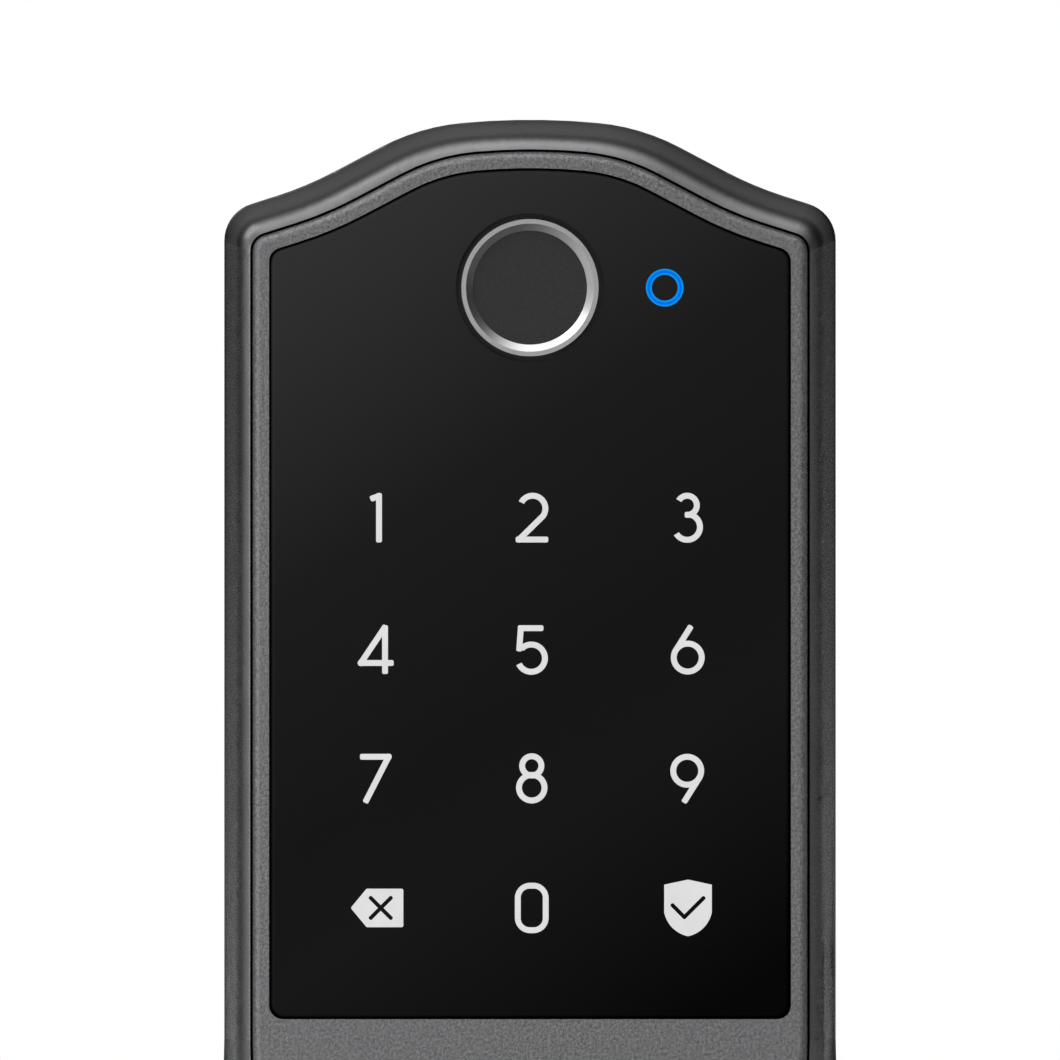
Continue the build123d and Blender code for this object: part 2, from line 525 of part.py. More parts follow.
# ---------- INSIDE UNIT ----------
inner_face = rounded(-INNER_HALF_W, INNER_HALF_W, INNER_BOTTOM, INNER_TOP, 9)
fit_face = rounded(-INNER_HALF_W + 2.3, INNER_HALF_W - 2.3, INNER_BOTTOM + 2.3, INNER_TOP - 2.3, 6.7)
mount_plate = slab(fit_face, DOOR, MOUNT_PLATE_Y) - rod(0, 0, 7.5, 0, 60)
mount_plate -= slab(CABLE_SLOT, 0, 60)
for z in POST_ZS:
    mount_plate -= rod(0, z, BOLT_R + 0.3, 0, 60)
PLATE_SCREWS = [(-25.5, -22.0), (25.5, -22.0), (-25.5, 41.5), (25.5, 41.5)]
for x, z in PLATE_SCREWS:
    mount_plate -= rod(x, z, 1.3, 0, 60)
keep("inner_mounting_plate", mount_plate)
keep("through_bolts", screws([(0, z) for z in POST_ZS], MOUNT_PLATE_Y, -11.0, BOLT_R, 3.9, 2.4, 1))

SECOND_C = MOD_A * (SPUR_OUT + SPUR_2A) / 2
FIRST_C = MOD_B * (SPUR_2B + SPUR_1A) / 2
MOTOR_C = MOD_C * (SPUR_1B + SPUR_M) / 2
A2, A1, AM = 95.0, 15.0, -45.0
P2 = (SECOND_C * cos(radians(A2)), SECOND_C * sin(radians(A2)))
P1 = (P2[0] + FIRST_C * cos(radians(A1)), P2[1] + FIRST_C * sin(radians(A1)))
PM = (P1[0] + MOTOR_C * cos(radians(AM)), P1[1] + MOTOR_C * sin(radians(AM)))

base = slab(fit_face, MOUNT_PLATE_Y, CHASSIS_Y) - rod(0, 0, 8.0, 0, 60)
for z in POST_ZS:
    base -= rod(0, z, 4.3, 0, 60)
base -= slab(CABLE_SLOT, 0, 60)
rim = slab(fit_face, CHASSIS_Y, 56.0) - slab(offset(fit_face, -1.6), CHASSIS_Y - 1, 57)
bay = slab(rounded(-30.2, 30.2, DOOR_SPLIT_Z + 0.2, INNER_TOP - 2.3, 6.7), CHASSIS_Y, 64.0)
bay -= slab(rounded(-29.4, 29.4, CELL_Z0 - 1.1, CELL_Z0 + CELL_L + 0.6, 1.0), 56.6, 70)
bay -= block(-28.6, 28.6, 51.0, 55.4, DOOR_SPLIT_Z + 1.6, INNER_TOP - 4.5)
bay -= block(-28.6, 28.6, 55.0, 70, DOOR_SPLIT_Z - 2, CELL_Z0 - 2.5)
chassis = base + rim + bay
for x, z in PLATE_SCREWS:
    chassis += rod(x, z, 3.0, CHASSIS_Y, 55.0)
    chassis -= rod(x, z, 1.4, 0, 60)
AXLE_R = 1.0
for x, z in (P2, P1):
    chassis -= rod(x, z, AXLE_R, 47.9, 60)
GEARBOX_POSTS = [(-23.0, 13.0), (-12.0, 40.0), (25.5, 9.0), (18.0, 42.0)]
for x, z in GEARBOX_POSTS:
    chassis += rod(x, z, 2.4, CHASSIS_Y, GEARBOX_Y)
    chassis -= rod(x, z, 0.9, 52.0, 60)
COVER_POSTS = [(-26.0, 28.0), (17.0, -24.0)]
for x, z in COVER_POSTS:
    chassis += rod(x, z, 2.8, CHASSIS_Y, 62.0)
    chassis -= rod(x, z, 1.2, 52.0, 63)
BOARD_POSTS = [(-27.0, 18.5), (-1.0, 44.6)]
for x, z in BOARD_POSTS:
    chassis += rod(x, z, 1.5, CHASSIS_Y, 64.6)
keep("inner_chassis", chassis)
keep("chassis_screws", screws(PLATE_SCREWS, 55.0, MOUNT_PLATE_Y - 1.5, 1.3, 2.5, 1.6, 1))

out_y, mid_y, top_y = (50.4, 53.4), (53.9, 55.9), (56.5, 58.1)
SPINDLE_R = 6.0
out_gear = spur(SPUR_OUT, MOD_A, 0, 0, *out_y, A2)
out_gear -= rod(0, 0, SPINDLE_R, 40, 60)
keep("output_gear", out_gear)
spindle = rod(0, 0, SPINDLE_R, out_y[0], 76.6) + rod(0, 0, 7.93, 46.9, out_y[0])
spindle -= block(-BAR_T / 2, BAR_T / 2, 40, 57.0, -BAR_W / 2, BAR_W / 2)
spindle += rod(0, 0, 3.6, 76.6, 88.0)
keep("turn_spindle", spindle)

phase_2a = A2 + 180 + 180 / SPUR_2A
phase_2b = A1
second = spur(SPUR_2A, MOD_A, *P2, out_y[0], mid_y[0], phase_2a)
second += spur(SPUR_2B, MOD_B, *P2, *mid_y, phase_2b)
second -= rod(*P2, AXLE_R + 0.06, 40, 60)
keep("second_gear", second)
phase_1a = A1 + 180 + 180 / SPUR_1A
first = spur(SPUR_1A, MOD_B, *P1, mid_y[0], top_y[0], phase_1a)
first += spur(SPUR_1B, MOD_C, *P1, *top_y, AM)
first -= rod(*P1, AXLE_R + 0.06, 40, 60)
keep("first_gear", first)
phase_m = AM + 180 + 180 / SPUR_M
pinion = spur(SPUR_M, MOD_C, *PM, 56.3, 58.3, phase_m) + rod(*PM, 0.75, 55.6, 59.1)
keep("motor_pinion", pinion)
keep("gear_axles", Compound([rod(x, z, AXLE_R, 47.9, GEARBOX_PLATE_Y) for x, z in (P2, P1)]))

gb_corners = [(-26, 9.8), (-26, 16), (-16, 43.2), (22, 45), (29, 30), (29, 6), (21, 6), (9, 10), (-9, 10)]
gb_face = make_face(Wire(Polyline(*gb_corners, close=True).edges()))
gb_face = fillet(gb_face.vertices(), 1.2)
gearbox = slab(gb_face, GEARBOX_Y, GEARBOX_PLATE_Y) - rod(0, 0, SPINDLE_R + 1.2, 50, 70)
for x, z in (P2, P1):
    gearbox -= rod(x, z, AXLE_R, 50, 70)
for x, z in GEARBOX_POSTS:
    gearbox -= rod(x, z, 1.1, 50, 70)
gearbox -= rod(*PM, 2.6, 50, 70)
gearbox -= slab(CABLE_SLOT, 50, 70)
gearbox -= rod(*BOARD_POSTS[1], 1.7, 50, 70)
keep("gearbox_plate", gearbox)
keep("gearbox_screws", screws(GEARBOX_POSTS, GEARBOX_PLATE_Y, 52.5, 0.9, 1.9, 1.2, 1))
motor = rod(*PM, MOTOR_R, GEARBOX_PLATE_Y, 73.0) & block(-60, 60, 50, 90, PM[1] - 6.2, PM[1] + 6.2)
motor += rod(*PM, 2.5, 59.2, GEARBOX_PLATE_Y) + rod(*PM, 2.6, 73.0, 74.0)
keep("drive_motor", motor)

# ---------- inside electronics ----------
BOARD_Y0, BOARD_Y1 = 64.6, 66.2
pcb_face = rounded(-29.6, 3.0, 16.0, DOOR_SPLIT_Z + 4.0, 1.5)
pcb = slab(pcb_face, BOARD_Y0, BOARD_Y1)
for x, z in COVER_POSTS[:1]:
    pcb -= rod(x, z, 3.2, 50, 80)
keep("main_board", pcb)
BTN = (-22.0, DOOR_SPLIT_Z + 2.4)
chip_boxes = [(-14, -4, 1.6, 26, 36), (-12, -6, 1.2, 39, 44), (-28, -19.5, 5.0, 32, 38), (-3, 2, 4.0, 18, 26)]
chip_boxes += [(-27.5 + 2.6 * i, -26.1 + 2.6 * i, 0.9, 41, 43) for i in range(4)]
chip_boxes += [(BTN[0] - 2, BTN[0] + 2, 1.8, BTN[1] - 1.9, BTN[1] + 1.6)]
chips = [block(x0, x1, BOARD_Y1, BOARD_Y1 + high, z0, z1) for x0, x1, high, z0, z1 in chip_boxes]
keep("main_board_components", Compound(chips))

cells, strips = [], []
for i in range(4):
    x = (i - 1.5) * CELL_PITCH
    up = 1 if i % 2 == 0 else -1
    mid_cell = CELL_Z0 + CELL_L / 2
    body_c = Pos(x, CELL_Y, mid_cell - up * 0.6) * Cylinder(CELL_R, CELL_L - 1.4)
    nub = Pos(x, CELL_Y, mid_cell + up * (CELL_L / 2 - 0.65)) * Cylinder(2.7, 1.3)
    cells.append(body_c + nub)
keep("batteries", Compound(cells))
cell_end = CELL_Z0 + CELL_L
for a in (-1.5, 0.5):
    x0 = a * CELL_PITCH
    strips.append(block(x0 - 4, x0 + CELL_PITCH + 4, 60.0, 63.9, cell_end + 0.02, cell_end + 0.5))
strips.append(block(-0.5 * CELL_PITCH - 4, 0.5 * CELL_PITCH + 4, 60.0, 63.9, CELL_Z0 - 1.0, CELL_Z0 - 0.4))
for a in (-1.5, 1.5):
    strips.append(block(a * CELL_PITCH - 4, a * CELL_PITCH + 4, 60.0, 63.9, CELL_Z0 - 1.0, CELL_Z0 - 0.4))
keep("battery_contacts", Compound(strips))

# ---------- setup button ----------
button = rod(*BTN, 1.1, BOARD_Y1 + 2.9, 73.2) + rod(*BTN, 1.7, BOARD_Y1 + 2.9, BOARD_Y1 + 3.7)
keep("setup_button", button)

# ---------- cover ----------
WALL_IN = 2.0
cover = slab(inner_face, DOOR, COVER_Y)
round_edges = cover.faces().sort_by(Axis.Y)[-1].edges()
full_cover = fillet(round_edges, 3.0)
hollow = slab(offset(inner_face, -WALL_IN), DOOR - 1, COVER_Y - 2.4)
lower = block(-50, 50, 40, 100, INNER_BOTTOM - 5, DOOR_SPLIT_Z)
upper_sides = block(-50, 50, 40, 75.0, DOOR_SPLIT_Z - 0.1, INNER_TOP - 12.0)
shell_in = full_cover - hollow
cover = (shell_in & lower) + (shell_in & upper_sides)
shelf = block(-INNER_HALF_W + WALL_IN, INNER_HALF_W - WALL_IN, 70.0, 75.6, DOOR_SPLIT_Z - 1.6, DOOR_SPLIT_Z)
cover += shelf
ledge = block(-29.4, -16, 70.0, 71.4, DOOR_SPLIT_Z, DOOR_SPLIT_Z + 4.6)
cover += ledge
cover -= rod(*BTN, 1.3, 60, 90)
BUSH_R = 8.2
cover -= rod(0, 0, BUSH_R, 60, 90)
cover -= rod(0, 0, 17.6, 77.2, 90)
for x, z in COVER_POSTS:
    cover += rod(x, z, 3.2, 62.0, 76.0) & block(-50, 50, 60, 76, -40, 60)
    cover -= rod(x, z, 1.3, 60, 90)
    cover -= rod(x, z, 2.5, 74.5, 90)
keep("inner_cover", cover)
keep("cover_screws", screws(COVER_POSTS, 74.5, 52.5, 1.2, 2.3, 1.6, 1))

lid = full_cover & block(-50, 50, 75.2, 100, DOOR_SPLIT_Z + 0.25, INNER_TOP + 5)
cap = full_cover - slab(offset(inner_face, -1.6), 40, 90)
cap &= block(-50, 50, DOOR + 0.4, 75.2, INNER_TOP - 11.8, 120)
lid = lid + cap
lid -= slab(offset(inner_face, -4.2), 60, 75.9) & block(-60, 60, 0, 200, DOOR_SPLIT_Z, 200)
keep("battery_cover", lid)

keep("turn_bushing", ring(0, 0, BUSH_R, SPINDLE_R + 0.07, 74.4, 77.2))
knob = rod(0, 0, 17.0, 77.7, 81.0)
knob_edges = knob.edges().filter_by_position(Axis.Y, 80.9, 81.1)
knob = fillet(knob_edges, 1.2)
paddle_face = rounded(-6.0, 6.0, -17.0, 17.0, 5.9)
grip = slab(paddle_face, 80.0, 99.0)
grip = fillet(grip.faces().sort_by(Axis.Y)[-1].edges(), 2.6)
knob = knob + grip - rod(0, 0, 3.6, 70, 88.0)
keep("thumb_turn", knob)
keep("thumb_turn_clip", ring(0, 0, 7.6, SPINDLE_R, 73.2, 74.0))

# ---------- link cable ----------
route = [(-13.5, 33.0), (-9.0, 27.0), (-3.0, 19.4), (6.0, 18.0), (46.0, 18.0), (58.0, 18.6), (64.1, 20.6)]
path = Spline(*[(CABLE_X, y, z) for y, z in route])
flat_cable = sweep(Plane(origin=path @ 0, x_dir=(1, 0, 0), z_dir=path % 0) * Rectangle(4.4, 1.2), path)
keep("link_cable", flat_cable)
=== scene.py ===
"""Keypad smart lock: materials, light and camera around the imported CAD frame."""
import json
from math import radians

import bpy
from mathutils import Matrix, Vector


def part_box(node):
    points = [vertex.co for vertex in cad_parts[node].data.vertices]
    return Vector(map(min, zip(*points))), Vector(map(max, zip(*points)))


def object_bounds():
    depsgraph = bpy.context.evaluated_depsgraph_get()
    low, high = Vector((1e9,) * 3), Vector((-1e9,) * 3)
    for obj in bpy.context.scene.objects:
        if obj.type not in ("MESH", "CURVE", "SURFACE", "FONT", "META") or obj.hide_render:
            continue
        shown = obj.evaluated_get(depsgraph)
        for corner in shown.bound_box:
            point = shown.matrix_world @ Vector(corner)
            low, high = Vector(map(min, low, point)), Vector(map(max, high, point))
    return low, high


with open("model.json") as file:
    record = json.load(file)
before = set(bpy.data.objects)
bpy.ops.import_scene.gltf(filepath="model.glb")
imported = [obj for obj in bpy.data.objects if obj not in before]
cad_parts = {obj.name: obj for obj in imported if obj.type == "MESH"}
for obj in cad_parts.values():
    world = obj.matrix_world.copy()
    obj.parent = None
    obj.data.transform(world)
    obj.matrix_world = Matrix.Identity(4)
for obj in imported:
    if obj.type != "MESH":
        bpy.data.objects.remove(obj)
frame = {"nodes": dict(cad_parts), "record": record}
cad_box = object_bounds()
nodes = frame["nodes"]

MM = 0.001
# the flat floor of the shell's groove, which the shell's material paints near-black as painted shade
# in the recess
GROOVE_FLOOR_Y = -18.6 * MM


# ---------- material helpers ----------
class Recipe:
    """One Principled material with its node tree, built a step at a time."""

    def __init__(self, name, metal=0.0, ior=1.5, coat=0.0, coat_rough=0.1, specular=0.5):
        self.mat = bpy.data.materials.new(name)
        self.mat.use_nodes = True
        self.tree = self.mat.node_tree
        self.bsdf = self.tree.nodes["Principled BSDF"]
        self.bsdf.inputs["Metallic"].default_value = metal
        self.bsdf.inputs["IOR"].default_value = ior
        self.bsdf.inputs["Coat Weight"].default_value = coat
        self.bsdf.inputs["Coat Roughness"].default_value = coat_rough
        self.bsdf.inputs["Specular IOR Level"].default_value = specular
        self.where = self.node("ShaderNodeTexCoord").outputs["Object"]
        self.height = None

    def node(self, kind, **settings):
        made = self.tree.nodes.new(kind)
        for key, value in settings.items():
            setattr(made, key, value)
        return made

    def link(self, a, b):
        self.tree.links.new(a, b)

    def noise(self, size_mm, detail=3.0, rough=0.55, stretch=None):
        """Noise whose blobs are about size_mm across, from 0 to 1."""
        place = self.where
        if stretch:
            mapping = self.node("ShaderNodeMapping")
            mapping.inputs["Scale"].default_value = stretch
            self.link(place, mapping.inputs["Vector"])
            place = mapping.outputs["Vector"]
        made = self.node("ShaderNodeTexNoise")
        made.inputs["Scale"].default_value = 1000.0 / size_mm
        made.inputs["Detail"].default_value = detail
        made.inputs["Roughness"].default_value = rough
        self.link(place, made.inputs["Vector"])
        return made.outputs["Fac"]

    def cells(self, size_mm, feature="F1"):
        made = self.node("ShaderNodeTexVoronoi", feature=feature)
        made.inputs["Scale"].default_value = 1000.0 / size_mm
        self.link(self.where, made.inputs["Vector"])
        return made.outputs["Distance"]

    def span(self, value, low, high, start=0.3, end=0.7):
        made = self.node("ShaderNodeMapRange")
        made.inputs["From Min"].default_value = start
        made.inputs["From Max"].default_value = end
        made.inputs["To Min"].default_value = low
        made.inputs["To Max"].default_value = high
        self.link(value, made.inputs["Value"])
        return made.outputs["Result"]

    def spot(self):
        """The point's X, Y and Z sockets, in the object's own metres."""
        made = self.node("ShaderNodeSeparateXYZ")
        self.link(self.where, made.inputs["Vector"])
        return made.outputs

    def facing_y(self):
        """How the surface faces along Y: -1 is straight to the front."""
        made = self.node("ShaderNodeSeparateXYZ")
        self.link(self.node("ShaderNodeNewGeometry").outputs["True Normal"], made.inputs["Vector"])
        return made.outputs["Y"]

    def ramp(self, value, dark, light, start=0.3, end=0.7):
        ramp = self.node("ShaderNodeValToRGB")
        ramp.color_ramp.elements[0].position = start
        ramp.color_ramp.elements[0].color = (*dark, 1)
        ramp.color_ramp.elements[1].position = end
        ramp.color_ramp.elements[1].color = (*light, 1)
        self.link(value, ramp.inputs["Fac"])
        return ramp.outputs["Color"]

    def colour(self, value, dark, light, start=0.3, end=0.7):
        self.link(self.ramp(value, dark, light, start, end), self.bsdf.inputs["Base Color"])
        return self

    def math(self, operation, a, b):
        made = self.node("ShaderNodeMath", operation=operation)
        for socket, value in zip(made.inputs, (a, b)):
            if isinstance(value, float):
                socket.default_value = value
            else:
                self.link(value, socket)
        return made.outputs[0]

    def blend(self, share, colour, plain):
        """The linked colour where share is 0, and the plain one where it is 1."""
        made = self.node("ShaderNodeMix", data_type="RGBA")
        self.link(share, made.inputs["Factor"])
        self.link(colour, made.inputs["A"])
        made.inputs["B"].default_value = (*plain, 1)
        return made.outputs["Result"]

    def level_mask(self, y):
        """1 on flat ground that faces the front at this y, 0 elsewhere."""
        off = self.math("ABSOLUTE", self.math("SUBTRACT", self.spot()["Y"], y), 0.0)
        near = self.math("LESS_THAN", off, 0.05 * MM)
        flat = self.math("LESS_THAN", self.facing_y(), -0.999)
        return self.math("MULTIPLY", near, flat)

    def rough(self, value, low, high):
        self.link(self.span(value, low, high), self.bsdf.inputs["Roughness"])
        return self

    def bump(self, value, depth_mm, strength=1.0):
        made = self.node("ShaderNodeBump")
        made.inputs["Distance"].default_value = depth_mm * MM
        made.inputs["Strength"].default_value = strength
        self.link(value, made.inputs["Height"])
        if self.height:
            self.link(self.height, made.inputs["Normal"])
        self.height = made.outputs["Normal"]
        self.link(self.height, self.bsdf.inputs["Normal"])
        return self

    def glow(self, rgb, strength):
        self.bsdf.inputs["Emission Color"].default_value = (*rgb, 1)
        self.bsdf.inputs["Emission Strength"].default_value = strength
        return self


def grey(v):
    return (v, v, v)


def cast_shell():
    r = Recipe("shell_graphite", metal=1.0)
    grain = r.noise(0.30)
    tone = r.ramp(r.noise(6.0), (0.072, 0.072, 0.074), (0.082, 0.082, 0.084))
    # painted shade: the groove's flat floor is coloured near-black where shade falls in the recess
    groove_painted_shade = r.level_mask(GROOVE_FLOOR_Y)
    r.link(r.blend(groove_painted_shade, tone, grey(0.0015)), r.bsdf.inputs["Base Color"])
    r.rough(grain, 0.24, 0.29)
    return r.bump(grain, 0.012, 0.5).mat


def textured_plate():
    r = Recipe("plate_graphite", metal=1.0)
    grain = r.noise(0.34, detail=4.0, rough=0.7)
    r.colour(grain, (0.050, 0.050, 0.052), (0.142, 0.142, 0.145)).rough(grain, 0.40, 0.50)
    return r.bump(grain, 0.090, 1.0).mat


# the panel's dark glass, with a painted sheen of reflected light that lightens it upwards and to the
# left: (share of the way, level)
PAINTED_SHEEN = [
    (0.07, 0.0002),
    (0.33, 0.0039),
    (0.45, 0.0035),
    (0.68, 0.0056),
    (0.84, 0.0110),
    (0.97, 0.0158),
]
PAINTED_SHEEN_UP, PAINTED_SHEEN_LEFT, PAINTED_SHEEN_RUN = 1.15, 0.75, 0.15


def panel_glass():
    r = Recipe("panel_glass", ior=1.5, specular=0.02)
    spot = r.spot()
    up = r.math("MULTIPLY", spot["Z"], PAINTED_SHEEN_UP)
    left = r.math("MULTIPLY", spot["X"], -PAINTED_SHEEN_LEFT)
    # near-black glass with a painted sheen: the colour lightens upwards and to the left as a painted
    # reflection of the light
    painted_sheen_ramp = r.node("ShaderNodeValToRGB")
    for place, level in PAINTED_SHEEN:
        stop = painted_sheen_ramp.color_ramp.elements.new(place)
        stop.color = (level, level, level * 1.02, 1)
    for spare in (0, -1):
        painted_sheen_ramp.color_ramp.elements.remove(painted_sheen_ramp.color_ramp.elements[spare])
    r.link(r.span(r.math("ADD", up, left), 0.0, 1.0, 0.0, PAINTED_SHEEN_RUN), painted_sheen_ramp.inputs["Fac"])
    r.link(painted_sheen_ramp.outputs["Color"], r.bsdf.inputs["Base Color"])
    r.rough(r.noise(14.0), 0.34, 0.38)
    return r.mat


def lit_legend():
    r = Recipe("legend_white", ior=1.5)
    haze = r.noise(3.0)
    r.colour(haze, grey(0.10), grey(0.12)).rough(haze, 0.35, 0.42)
    return r.glow((1.0, 1.0, 1.0), 0.50).mat


def disc(node):
    """The centre and the radius of a round node that faces the front."""
    low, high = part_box(node)
    return (Vector(low) + Vector(high)) / 2, (high[0] - low[0]) / 2


# where the light ring is deepest, as a share of its outer radius
LIGHT_MIDDLE = 0.85


def status_blue():
    """A light ring: pale at its two edges, deeper along its middle."""
    centre, outer = disc("status_light_ring")
    middle = outer * LIGHT_MIDDLE
    r = Recipe("status_blue", ior=1.5, specular=0.02)
    spot = r.spot()
    out_x = r.math("SUBTRACT", spot["X"], centre.x)
    out_z = r.math("SUBTRACT", spot["Z"], centre.z)
    squares = r.math("ADD", r.math("MULTIPLY", out_x, out_x), r.math("MULTIPLY", out_z, out_z))
    reach = r.math("SQRT", squares, 0.0)
    off = r.math("ABSOLUTE", r.math("SUBTRACT", reach, middle), 0.0)
    share = r.span(off, 0.0, 1.0, 0.0, outer - middle)
    haze = r.noise(2.0)
    r.colour(haze, (0.0, 0.002, 0.010), (0.0, 0.003, 0.014)).rough(haze, 0.3, 0.4)
    blue = r.ramp(share, (0.0, 0.130, 0.82), (0.0, 0.34, 0.86), 0.1, 0.95)
    r.link(blue, r.bsdf.inputs["Emission Color"])
    r.bsdf.inputs["Emission Strength"].default_value = 1.0
    return r.mat


def turned_metal(name, base, metal=1.0, rough=(0.28, 0.4)):
    r = Recipe(name, metal=metal)
    lines = r.noise(0.25, detail=2.0, stretch=(1.0, 0.08, 1.0))
    r.colour(r.noise(4.0), tuple(0.92 * c for c in base), base).rough(lines, *rough)
    return r.bump(lines, 0.004, 0.3).mat


def sensor_rim():
    """Turned metal. Its inner bevel carries painted shade at the upper left and painted light at the
    lower right.
    """
    centre, radius = disc("sensor_bezel")
    r = Recipe("bezel_metal", metal=1.0)
    spot = r.spot()
    right = r.math("SUBTRACT", spot["X"], centre.x)
    down = r.math("SUBTRACT", centre.z, spot["Z"])
    # painted light and shade on the inner bevel: dark towards the upper left, light towards the
    # lower right
    across = r.span(r.math("ADD", right, down), 0.0, 1.0, -1.2 * radius, 0.9 * radius)
    flat = r.math("LESS_THAN", r.facing_y(), -0.95)
    bevel = r.ramp(across, grey(0.065), grey(0.33), 0.1, 0.9)
    r.link(r.blend(flat, bevel, (0.36, 0.36, 0.37)), r.bsdf.inputs["Base Color"])
    lines = r.noise(0.25, detail=2.0, stretch=(1.0, 0.08, 1.0))
    r.rough(lines, 0.28, 0.34)
    return r.bump(lines, 0.004, 0.3).mat


def sensor_face():
    r = Recipe("sensor_black", ior=1.45, specular=0.22)
    weave = r.cells(0.16)
    r.colour(weave, grey(0.004), grey(0.010), 0.1, 0.6).rough(r.noise(0.5), 0.55, 0.68)
    return r.bump(weave, 0.02, 0.5).mat


def soft_black(name, base=0.012, rough=(0.7, 0.85), grain_mm=0.5):
    r = Recipe(name, ior=1.45, specular=0.35)
    grain = r.noise(grain_mm)
    r.colour(r.noise(5.0), grey(base * 0.85), grey(base * 1.1)).rough(grain, *rough)
    return r.bump(grain, 0.02, 0.4).mat


def moulded(name, base, rough=(0.42, 0.55), grain_mm=0.4, depth=0.02):
    r = Recipe(name, ior=1.46, specular=0.45)
    grain = r.noise(grain_mm)
    dark = tuple(c * 0.9 for c in base)
    r.colour(r.noise(8.0), dark, base).rough(grain, *rough)
    return r.bump(grain, depth, 0.5).mat


def zinc(name, base, rough=(0.36, 0.43)):
    r = Recipe(name, metal=1.0)
    flakes = r.cells(2.2)
    r.colour(flakes, tuple(c * 0.93 for c in base), base, 0.0, 0.7).rough(flakes, *rough)
    return r.bump(r.noise(0.6), 0.006, 0.3).mat


def solder_mask():
    r = Recipe("board_green", ior=1.5, coat=0.3, coat_rough=0.2)
    tracks = r.cells(1.6, "DISTANCE_TO_EDGE")
    r.colour(tracks, (0.010, 0.090, 0.040), (0.004, 0.050, 0.022), 0.05, 0.12)
    r.rough(r.noise(1.0), 0.35, 0.45)
    return r.bump(tracks, 0.02, 0.3).mat


# where the cells' wrap changes colour, up the object, in metres
WRAP_LINE, WRAP_EDGE = 0.088, 0.0005


def cell_wrap():
    r = Recipe("cell_wrap", ior=1.5, coat=0.6, coat_rough=0.08)
    band = r.span(r.spot()["Z"], 0.0, 1.0, WRAP_LINE, WRAP_LINE + WRAP_EDGE)
    r.colour(band, (0.018, 0.055, 0.16), (0.42, 0.25, 0.08), 0.45, 0.55)
    r.rough(r.noise(4.0), 0.25, 0.35)
    return r.mat


recipes = {
    "shell_graphite": cast_shell(),
    "plate_graphite": textured_plate(),
    "panel_glass": panel_glass(),
    "legend_white": lit_legend(),
    "status_blue": status_blue(),
    "bezel_metal": sensor_rim(),
    "sensor_black": sensor_face(),
    "rubber_black": soft_black("rubber_black"),
    "board_green": solder_mask(),
    "chip_black": soft_black("chip_black", 0.02, (0.5, 0.6)),
    "diffuser_white": moulded("diffuser_white", grey(0.75), (0.3, 0.4)),
    "frame_plastic": moulded("frame_plastic", grey(0.035)),
    "cover_plastic": moulded("cover_plastic", grey(0.045), (0.5, 0.6), 0.55, 0.05),
    "zinc_steel": zinc("zinc_steel", (0.60, 0.61, 0.62)),
    "screw_steel": turned_metal("screw_steel", (0.52, 0.52, 0.53)),
    "cylinder_brass": turned_metal("cylinder_brass", (0.68, 0.50, 0.22)),
    "cylinder_dark": turned_metal("cylinder_dark", (0.12, 0.12, 0.125), 0.8, (0.3, 0.4)),
    "bolt_steel": turned_metal("bolt_steel", (0.55, 0.55, 0.56)),
    "gear_white": moulded("gear_white", (0.72, 0.70, 0.62), (0.35, 0.45), 0.8, 0.01),
    "motor_steel": turned_metal("motor_steel", (0.62, 0.62, 0.62)),
    "cell_wrap": cell_wrap(),
    "nickel": turned_metal("nickel", (0.66, 0.64, 0.60)),
    "knob_graphite": turned_metal("knob_graphite", (0.10, 0.10, 0.104), 0.7, (0.32, 0.42)),
    "cable_white": moulded("cable_white", grey(0.6), (0.35, 0.45)),
    "button_red": moulded("button_red", (0.5, 0.03, 0.02)),
}
for part in frame["record"]["subparts"]:
    obj = nodes[part["node"]]
    obj.data.materials.clear()
    obj.data.materials.append(recipes[part["material_slot"]])

# ---------- camera ----------
# a very long lens, because the front is seen almost without perspective
LENS, SENSOR_MM = 1600.0, 36.0
# what the frame takes in at the face plate: its width, and its middle
VIEW_W = 0.12116
VIEW_X, VIEW_Z = 0.0, 0.0778
face_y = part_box("face_plate")[0][1]
camera = bpy.data.objects.new("camera", bpy.data.cameras.new("camera"))
camera.data.lens = LENS
camera.data.sensor_width = SENSOR_MM
camera.data.clip_end = 50.0
camera.location = (VIEW_X, face_y - VIEW_W * LENS / SENSOR_MM, VIEW_Z)
camera.rotation_euler = (radians(90), 0, 0)
bpy.context.scene.collection.objects.link(camera)
bpy.context.scene.camera = camera


# ---------- light ----------
def area(name, place, aim, size, power):
    lamp = bpy.data.lights.new(name, "AREA")
    lamp.shape = "SQUARE"
    lamp.size = size
    lamp.energy = power
    obj = bpy.data.objects.new(name, lamp)
    obj.location = place
    obj.rotation_euler = (Vector(aim) - Vector(place)).to_track_quat("-Z", "Y").to_euler()
    bpy.context.scene.collection.objects.link(obj)


area("key", (-0.28, -0.10, 0.36), (0.0, -0.02, 0.10), 0.24, 0.5)
area("side", (-0.22, -0.36, 0.07), (0.0, -0.02, 0.06), 0.16, 0.46)
area("low", (0.0, -0.16, -0.08), (0.0, -0.02, 0.02), 0.08, 0.12)

# the studio around the part, as soft lobes of light: direction, tightness, strength
LOBES = [
    ((0.0, -1.0, 0.0), 3, 0.07),
    ((-0.10, -1.5, 1.0), 14, 0.7),
    ((0.0, -0.6, 1.0), 7, 4.3),
    ((-1.0, -0.8, 0.0), 8, 1.35),
    ((1.0, -0.6, 0.0), 6, 0.30),
    ((-0.62, -0.40, 0.50), 6, 1.5),
    ((0.0, -0.8, -1.0), 4, 0.12),
    ((-0.2, 0.6, 1.0), 3, 0.40),
]
AMBIENT = 0.05

world = bpy.data.worlds.new("studio")
bpy.context.scene.world = world
world.use_nodes = True
sky = world.node_tree


def sky_node(kind, operation=None):
    made = sky.nodes.new(kind)
    if operation:
        made.operation = operation
    return made


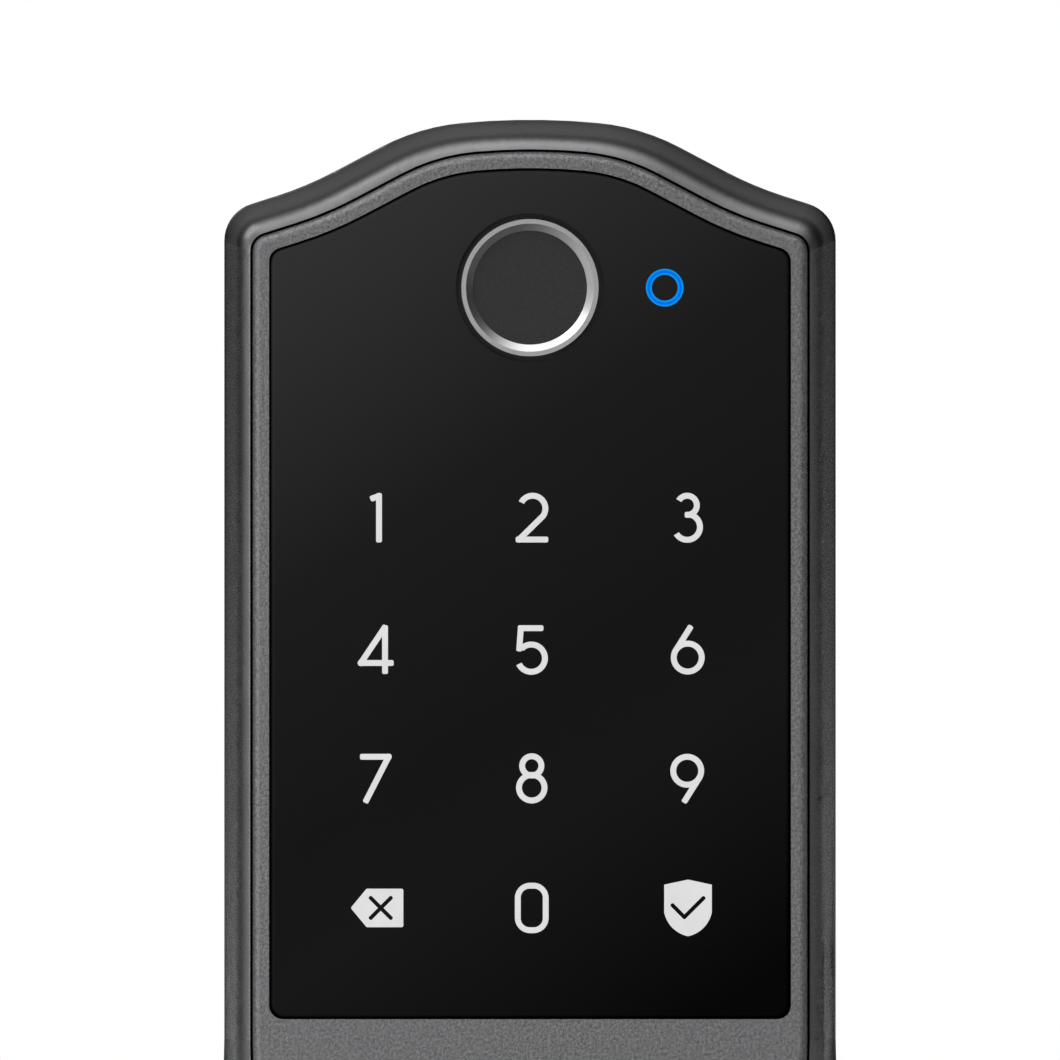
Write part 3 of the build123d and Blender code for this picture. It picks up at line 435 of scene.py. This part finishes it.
coords = sky_node("ShaderNodeTexCoord")
total = None
for toward, tightness, strength in LOBES:
    dot = sky_node("ShaderNodeVectorMath", "DOT_PRODUCT")
    dot.inputs[1].default_value = Vector(toward).normalized()
    sky.links.new(coords.outputs["Generated"], dot.inputs[0])
    facing = sky_node("ShaderNodeMath", "MAXIMUM")
    facing.inputs[1].default_value = 0.0
    sky.links.new(dot.outputs["Value"], facing.inputs[0])
    lobe = sky_node("ShaderNodeMath", "POWER")
    lobe.inputs[1].default_value = tightness
    sky.links.new(facing.outputs[0], lobe.inputs[0])
    add = sky_node("ShaderNodeMath", "MULTIPLY_ADD")
    add.inputs[1].default_value = strength
    add.inputs[2].default_value = AMBIENT
    sky.links.new(lobe.outputs[0], add.inputs[0])
    if total:
        sky.links.new(total, add.inputs[2])
    total = add.outputs[0]
background = sky.nodes["Background"]
background.inputs["Color"].default_value = (1, 1, 1, 1)
sky.links.new(total, background.inputs["Strength"])
paper = sky_node("ShaderNodeBackground")
paper.inputs["Color"].default_value = (1, 1, 1, 1)
rays = sky_node("ShaderNodeLightPath")
choose = sky_node("ShaderNodeMixShader")
sky.links.new(rays.outputs["Is Camera Ray"], choose.inputs[0])
sky.links.new(background.outputs["Background"], choose.inputs[1])
sky.links.new(paper.outputs["Background"], choose.inputs[2])
sky.links.new(choose.outputs["Shader"], sky.nodes["World Output"].inputs["Surface"])
bpy.context.scene.view_settings.view_transform = "Standard"

# ---------- floor ----------
FLOOR_HALF, FLOOR_GAP = 2.6, 0.5 * MM
floor_z = cad_box[0][2] - FLOOR_GAP
mesh = bpy.data.meshes.new("floor")
corners = [(-1, -1), (1, -1), (1, 1), (-1, 1)]
mesh.from_pydata([(x * FLOOR_HALF, y * FLOOR_HALF, floor_z) for x, y in corners], [], [(0, 1, 2, 3)])
floor = bpy.data.objects.new("floor", mesh)
bpy.context.scene.collection.objects.link(floor)
pale = Recipe("floor_pale")
pale.colour(pale.noise(300.0), grey(0.78), grey(0.82)).rough(pale.noise(100.0), 0.7, 0.8)
mesh.materials.append(pale.mat)
